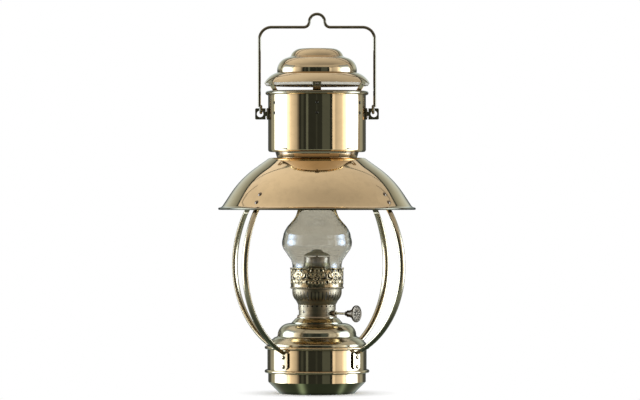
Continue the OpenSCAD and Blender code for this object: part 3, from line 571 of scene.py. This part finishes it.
def gallery_faces(kept, back):
    """Both faces of each metal cell, and a cut edge wherever its neighbour is open."""
    faces = []
    for j in range(ROWS):
        for i in range(COLUMNS):
            if not kept[j, i]:
                continue
            right, up_row = (i + 1) % COLUMNS, (j + 1) * COLUMNS
            a, b, c, d = j * COLUMNS + i, j * COLUMNS + right, up_row + right, up_row + i
            faces += [(a, b, c, d), (back + d, back + c, back + b, back + a)]
            open_below = j == 0 or not kept[j - 1, i]
            open_above = j == ROWS - 1 or not kept[j + 1, i]
            for is_open, p, q in ((open_below, a, b), (not kept[j, right], b, c),
                                  (open_above, c, d), (not kept[j, i - 1], d, a)):
                if is_open:
                    faces.append((q, p, back + p, back + q))
    return faces


def gallery_wall():
    """The pierced and pressed gallery: two skins with open holes."""
    skins = gallery_skins(*gallery_grid())
    faces = gallery_faces(gallery_metal(), len(skins[0]))
    points = np.concatenate(skins).tolist()
    wall = link_mesh("gallery_pressed", points, faces, FINISH_OF["gallery"], smooth=True)
    drop_loose(wall)
    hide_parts("gallery")
    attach(wall, "burner")


def drop_loose(made):
    """Deletes points that no face uses."""
    shape = bmesh.new()
    shape.from_mesh(made.data)
    bmesh.ops.delete(shape, geom=[v for v in shape.verts if not v.link_faces], context="VERTS")
    shape.to_mesh(made.data)
    shape.free()


def face_out(made):
    """Turns every face outwards."""
    shape = bmesh.new()
    shape.from_mesh(made.data)
    bmesh.ops.recalc_face_normals(shape, faces=shape.faces)
    shape.to_mesh(made.data)
    shape.free()


def ringed_faces(rings, count):
    """Faces between rings of the same number of points, closed at both ends."""
    faces = []
    for i in range(1, rings):
        here, there = (i - 1) * count, i * count
        for k in range(count):
            n = (k + 1) % count
            faces.append((here + k, here + n, there + n, there + k))
    faces.append(tuple(range(count - 1, -1, -1)))
    faces.append(tuple((rings - 1) * count + k for k in range(count)))
    return faces


# The knob's spindle points to the right and towards the front
KNOB_AXIS = Vector((0.829038, -0.559193, 0))
KNOB_Z = 104 * MM


def knob_face(r, angle):
    """Height in mm of the rosette on the knob's face."""
    petals = abs(math.cos(5 * angle)) ** 0.6
    inside = max(0.0, math.sin(math.pi * min(1.0, max(0.0, (r - 2.6) / 6.0)))) ** 0.7
    ring = math.exp(-((r - 9.5) / 0.55) ** 2) + 0.9 * math.exp(-(r / 1.7) ** 2)
    return 62.25 + 0.75 * max(petals * inside, min(1.0, ring))


def knob_pressed():
    """The knob, turned about its spindle, with a pressed rosette."""
    side, up = Vector((-KNOB_AXIS.y, KNOB_AXIS.x, 0)), Vector((0, 0, 1))
    centre = Vector((0, 0, KNOB_Z))
    segments = 160
    # Radius and place along the spindle. The rosette gives the place of the face's rings
    stem = [(0.9, 45), (3.0, 45), (3.0, 47.5), (3.6, 47.9), (4.4, 48.2), (4.4, 51.4), (4.9, 52.6), (5.6, 54.5),
            (5.8, 56), (6.0, 57.4), (7.4, 58.3), (9.0, 59.0), (10.2, 59.6), (10.8, 60.0), (11.0, 60.5),
            (11.0, 61.7), (10.75, 62.3), (10.4, 62.6)]
    rings = stem + [(10.1 - 0.45 * k, None) for k in range(22)]
    points = []
    for r, x in rings:
        for k in range(segments):
            a = 2 * math.pi * k / segments
            place = x if x is not None else knob_face(r, a)
            radial = side * math.cos(a) + up * math.sin(a)
            points.append(centre + KNOB_AXIS * (place * MM) + radial * (r * MM))
    made = link_mesh("knob_turned", points, ringed_faces(len(rings), segments), FINISH_OF["knob"], smooth=True)
    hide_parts("knob")
    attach(made, "wick_knob")


# The arms in mm: each follows two arcs that meet at its widest place
ARM_WIDE_Z = 165.0
# Radius of the arc's centre, radius of the arc, first and last angle
ARM_ARCS = ((24.158, 118.0, -66.5, 0.0), (14.158, 128.0, 0.0, 33.0))
ARM_HALF_W, ARM_RISE, ARM_SUNK = 4.48, 2.7, 0.15
ARM_ACROSS = 14
ARM_TURNS = (("front_left", -40), ("front_right", 50), ("back_right", 140), ("back_left", 230))


def arm_line():
    """Steps of one degree along both arcs."""
    line = []
    for centre, radius, first, last in ARM_ARCS:
        steps = int(abs(last - first))
        line += [(centre, radius, first + (last - first) * k / steps)
                 for k in range(1 if line else 0, steps + 1)]
    return line


def arm_section(swell):
    """A shallow bow and the flat that closes it, as place across and height."""
    bow = [(ARM_HALF_W * math.cos(math.pi * k / ARM_ACROSS), -swell * math.sin(math.pi * k / ARM_ACROSS) ** 0.9)
           for k in range(ARM_ACROSS + 1)]
    return bow + [(-ARM_HALF_W, ARM_SUNK), (ARM_HALF_W, ARM_SUNK)]


def arm_points(line, turn):
    """Points of one arm's inner side, which runs out softly at both ends."""
    a = math.radians(turn)
    out, side = Vector((math.sin(a), -math.cos(a), 0)), Vector((math.cos(a), math.sin(a), 0))
    points = []
    for i, (centre, radius, degrees) in enumerate(line):
        b = math.radians(degrees)
        ends = min(1.0, min(i, len(line) - 1 - i) / 14)
        for across, depth in arm_section(ARM_RISE * math.sin(math.pi / 2 * ends)):
            r = centre + (radius + depth) * math.cos(b)
            z = ARM_WIDE_Z + (radius + depth) * math.sin(b)
            points.append((out * r + side * across + Vector((0, 0, z))) * MM)
    return points


def arm_crowns():
    """The rounded inner side of each arm, which lies on the flat of its half-round strip."""
    line = arm_line()
    count = ARM_ACROSS + 3
    faces = ringed_faces(len(line), count)
    for name, turn in ARM_TURNS:
        made = link_mesh(f"arm_inside_{name}", arm_points(line, turn), faces, ARM, smooth=True)
        for i, face in enumerate(made.data.polygons):
            face.use_smooth = i % count < ARM_ACROSS and i < count * (len(line) - 1)
        face_out(made)
        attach(made, "frame")


# Stage


def emitter(name, colour):
    """Light of one colour, as strong as the mesh's level says."""
    material = bpy.data.materials.new(name)
    tree = Tree(material)
    glow = tree.node("ShaderNodeEmission")
    glow.inputs["Color"].default_value = rgb(*colour)
    level = tree.node("ShaderNodeAttribute", attribute_name="level")
    path = tree.node("ShaderNodeLightPath")
    dimmed = tree.ramp(path.outputs["Is Transmission Ray"], 0.0, 1.0, 1.0, 0.65)
    tree.link(tree.math("MULTIPLY", level.outputs["Fac"], dimmed), glow.inputs["Strength"])
    # Seen only after a reflection, also by metal that stands inside the glass
    clear = tree.node("ShaderNodeBsdfTransparent")
    bounced = tree.math("MINIMUM", path.outputs["Glossy Depth"], 1.0)
    mix = tree.node("ShaderNodeMixShader")
    tree.link(bounced, mix.inputs[0])
    tree.link(clear.outputs[0], mix.inputs[1])
    tree.link(glow.outputs[0], mix.inputs[2])
    output = tree.node("ShaderNodeOutputMaterial")
    tree.link(mix.outputs[0], output.inputs["Surface"])
    return material


WHITE = emitter("white light", (0.56, 0.73, 1.0))
PLAIN = emitter("plain light", (1.0, 1.0, 1.0))
COOL = emitter("cool light", (0.72, 0.95, 1.0))
OLIVE = emitter("olive light", (0.85, 1.0, 1.0))
GREEN = emitter("green light", (0.62, 1.0, 0.9))


def reflected_card(name, points, faces, levels, material):
    """A card that only polished surfaces see."""
    card = link_mesh(name, points, faces, material)
    level = card.data.attributes.new("level", "FLOAT", "POINT")
    level.data.foreach_set("value", levels)
    card.visible_camera = False
    card.visible_diffuse = False
    card.visible_shadow = False


LOW_Z, ROOF_Z = -0.35, 1.75
REAR_Y = 1.62


def bent_card(name, az, z, level, material, radius=1.7, steps=12):
    """A bent card round the lamp. Directions are counted from the camera's side, towards +X."""
    points, faces, levels = [], [], []
    for i in range(steps + 1):
        t = i / steps
        a = math.radians(az[0] + (az[1] - az[0]) * t)
        points += [(radius * math.sin(a), -radius * math.cos(a), height) for height in z]
        levels += [level[0] + (level[1] - level[0]) * t] * 2
        if i:
            k = 2 * i
            faces.append((k - 2, k, k + 1, k - 1))
    reflected_card(name, points, faces, levels, material)


def flat_card(name, corners, levels, material):
    """A card of one face, with a level at each corner."""
    reflected_card(name, corners, [(0, 1, 2, 3)], levels, material)


def grid_card(name, xs, zs, place, level, material):
    """A card of many cells whose light varies: place gives a point, level its strength."""
    points = [place(x, z) for z in zs for x in xs]
    levels = [level(x, z) for z in zs for x in xs]
    wide = len(xs)
    faces = [(j * wide + i, j * wide + i + 1, (j + 1) * wide + i + 1, (j + 1) * wide + i)
             for j in range(len(zs) - 1) for i in range(wide - 1)]
    reflected_card(name, points, faces, levels, material)


def spread(low, high, steps):
    return [low + (high - low) * i / steps for i in range(steps + 1)]


def blend(value, stops):
    """The level at a value, from a list of (value, level) stops."""
    if value <= stops[0][0]:
        return stops[0][1]
    for (a, low), (b, high) in zip(stops, stops[1:]):
        if value <= b:
            return low + (high - low) * max(0.0, value - a) / (b - a)
    return stops[-1][1]


def softbox(name, az, radius):
    """A softbox that is brightest in its middle, as the glass shows it."""
    def place(angle, z):
        a = math.radians(angle)
        return (radius * math.sin(a), -radius * math.cos(a), z)

    def level(angle, z):
        u = 2 * (angle - az[0]) / (az[1] - az[0]) - 1
        core = 14.0 * math.exp(-2.6 * u * u - ((z - 0.24) / 0.52) ** 4)
        wide = 2.8 * math.exp(-0.9 * ((z - 0.40) / 0.5) ** 2)
        return core + (0.45 + wide) * min(1.0, 0.35 + 5.0 * (1 - abs(u)))

    grid_card(name, spread(az[0], az[1], 24), spread(LOW_Z, 1.3, 30), place, level, WHITE)


def rear_wall(half):
    """The wall behind the lamp: dark low down behind it, paler above and at the sides."""
    height = ((LOW_Z, 0.09), (0.46, 0.12), (0.56, 0.58), (0.72, 0.84), (1.0, 0.72), (1.25, 0.54),
              (1.6, 0.33), (ROOF_Z, 0.30))
    side = ((0.0, 0.0), (1.25, 0.0), (1.8, 0.5), (half, 0.6))

    def level(x, z):
        return max(blend(z, height), blend(abs(x), side) if z < 0.8 else 0.0)

    grid_card("rear wall", spread(-half, half, 64), spread(LOW_Z, ROOF_Z, 42),
              lambda x, z: (x, REAR_Y, z), level, OLIVE)


def roof(half):
    """The roof darkens towards the camera."""
    depth = ((-3.6, 0.25), (-0.9, 0.55), (-0.35, 0.78), (0.1, 0.92), (REAR_Y, 1.10))
    sides = ((-2.2, 0.9), (-1.05, 1.12), (-0.6, 1.12), (0, 1.0), (0.6, 0.9), (1.05, 0.8), (2.2, 0.62))
    grid_card("roof", spread(-half, half, 48), spread(-3.6, REAR_Y, 24),
              lambda x, y: (x, y, ROOF_Z), lambda x, y: blend(y, depth) * blend(x, sides), PLAIN)


def seams(half):
    """Dark seams of the tent: the roof's rear edge and two folds from its middle to its corners."""
    z, wide, high = ROOF_Z - 0.01, 0.055, 0.17
    y = REAR_Y - 0.01
    edge = [(-half, y, z - high), (half, y, z - high), (half, y, z), (-half, y, z)]
    flat_card("rear seam", edge, [0.10] * 4, COOL)
    near_x, far_x, near_y = 0.30, 1.42, 0.57
    for side in (-1, 1):
        corners = [(side * near_x, near_y, z), (side * (near_x + wide), near_y, z),
                   (side * (far_x + wide), REAR_Y, z), (side * far_x, REAR_Y, z)]
        flat_card(f"fold {side}", corners, [0.16] * 4, COOL)


def ground():
    """The ground is dark green near the lamp and grey further out."""
    reach = ((0.0, 0.05), (0.16, 0.06), (0.5, 0.12), (0.9, 0.4), (1.7, 0.5))

    def level(x, y):
        """Its light, with two pale streaks near the lamp."""
        streak = 0.5 * math.exp(-((x + 0.135) / 0.03) ** 2) + 0.3 * math.exp(-((x - 0.224) / 0.025) ** 2)
        near = math.exp(-((y - 0.1) / 0.25) ** 2)
        return blend(math.hypot(x, y), reach) + streak * near

    grid_card("ground", spread(-1.7, 1.7, 170), spread(-1.7, 1.7, 68),
              lambda x, y: (x, y, LOW_Z), level, COOL)
    near_half = 0.34
    grid_card("green ground", spread(-near_half, near_half, 60), spread(-near_half, near_half, 40),
              lambda x, y: (x, y, LOW_Z + 0.004), level, GREEN)


def studio():
    """All cards: what stands in front and at the sides, then the rear wall, roof, seams and ground."""
    box_z, front_z = (LOW_Z, 0.9), (LOW_Z, 1.05)
    softbox("left softbox", (-118, -72), 1.6)
    bent_card("left glow", (-74, -63), box_z, (3.2, 1.35), PLAIN, 1.62)
    bent_card("left wall", (-63, -47), box_z, (1.35, 0.62), PLAIN, 1.62)
    bent_card("left edge", (-47, -41), box_z, (0.5, 0.05), PLAIN, 1.62)
    bent_card("front drape", (-42, 36), front_z, (0.045, 0.05), COOL, 1.75, 24)
    for first, last, light in ((-37, -31, 0.10), (-25, -20, 0.24), (-3, 1, 0.075), (12, 30, 0.15)):
        bent_card(f"streak {first}", (first, last), front_z, (light, light), COOL, 1.7, 3)
    bent_card("gold streak", (36, 42), box_z, (1.35, 1.2), PLAIN, 1.66, 3)
    bent_card("right wall", (43, 59), box_z, (0.74, 1.2), PLAIN, 1.66)
    bent_card("right glow", (59, 70), box_z, (1.2, 3.2), PLAIN, 1.64)
    softbox("right softbox", (69, 111), 1.6)
    bent_card("right corner", (111, 120), box_z, (0.5, 0.4), PLAIN, 1.66, 3)
    bent_card("front upper", (-60, 60), (1.05, ROOF_Z), (0.7, 0.7), PLAIN, 1.75)
    upper_z, start, seam, end = (0.9, ROOF_Z), 58, 122.6, 124
    for side, near, far in ((-1, 0.85, 1.0), (1, 0.72, 0.74)):
        bent_card(f"side upper {side}", (side * start, side * end), upper_z, (near, far), PLAIN, 1.68)
        bent_card(f"side seam {side}", (side * seam, side * end), upper_z, (0.3, 0.3), PLAIN, 1.67, 2)
    tent_half = 3.2
    rear_wall(tent_half)
    roof(tent_half)
    seams(tent_half)
    ground()


def floor():
    """Pale floor that fades to the white background away from the lamp."""
    material, tree, shader = new_material("floor")
    output = next(n for n in tree.tree.nodes if n.type == "OUTPUT_MATERIAL")
    shader.inputs["Base Color"].default_value = rgb(0.97, 0.97, 0.965)
    shader.inputs["Roughness"].default_value = 0.9
    place = tree.node("ShaderNodeTexCoord").outputs["Object"]
    far = tree.node("ShaderNodeVectorMath", operation="LENGTH")
    tree.link(place, far.inputs[0])
    seen = tree.node("ShaderNodeLightPath").outputs["Is Camera Ray"]
    fade = tree.math("MULTIPLY", tree.ramp(far.outputs["Value"], 0.045, 0.105), seen, clamp=True)
    white = tree.node("ShaderNodeEmission")
    mix = tree.node("ShaderNodeMixShader")
    tree.link(fade, mix.inputs[0])
    tree.link(shader.outputs["BSDF"], mix.inputs[1])
    tree.link(white.outputs[0], mix.inputs[2])
    tree.link(mix.outputs[0], output.inputs["Surface"])
    half = 6.0
    plane = link_mesh("floor", [(-half, -half, 0), (half, -half, 0), (half, half, 0), (-half, half, 0)],
                      [(0, 1, 2, 3)], material)
    plane.location.z = -0.0002
    # The metal sees the ground cards instead of the floor
    plane.visible_glossy = False


def world():
    """Plain white light from all round."""
    made = bpy.data.worlds.new("studio")
    bpy.context.scene.world = made
    tree = Tree(made)
    sky = tree.node("ShaderNodeBackground")
    sky.inputs["Color"].default_value = rgb(1, 1, 1)
    sky.inputs["Strength"].default_value = 1.0
    output = tree.node("ShaderNodeOutputWorld")
    tree.link(sky.outputs[0], output.inputs["Surface"])


def camera():
    """Level with the middle of the photograph, far enough for its flat perspective."""
    width = IMAGE_W * PIXEL
    lens = bpy.data.cameras.new("camera")
    lens.sensor_width = SENSOR
    lens.lens = SENSOR * CAMERA_DISTANCE / width
    lens.clip_end = 60
    made = bpy.data.objects.new("camera", lens)
    bpy.context.scene.collection.objects.link(made)
    x = (IMAGE_W / 2 - AXIS_COLUMN) * PIXEL
    z = (GROUND_ROW - IMAGE_H / 2) * PIXEL
    made.location = (x, -CAMERA_DISTANCE, z)
    made.rotation_euler = (math.pi / 2, 0, 0)
    bpy.context.scene.camera = made


camera()
dress_nodes()
smooth_nodes()
chimney_glass()
rope_bead()
gallery_wall()
knob_pressed()
arm_crowns()
world()
floor()
studio()
bpy.context.scene.view_settings.view_transform = "Standard"
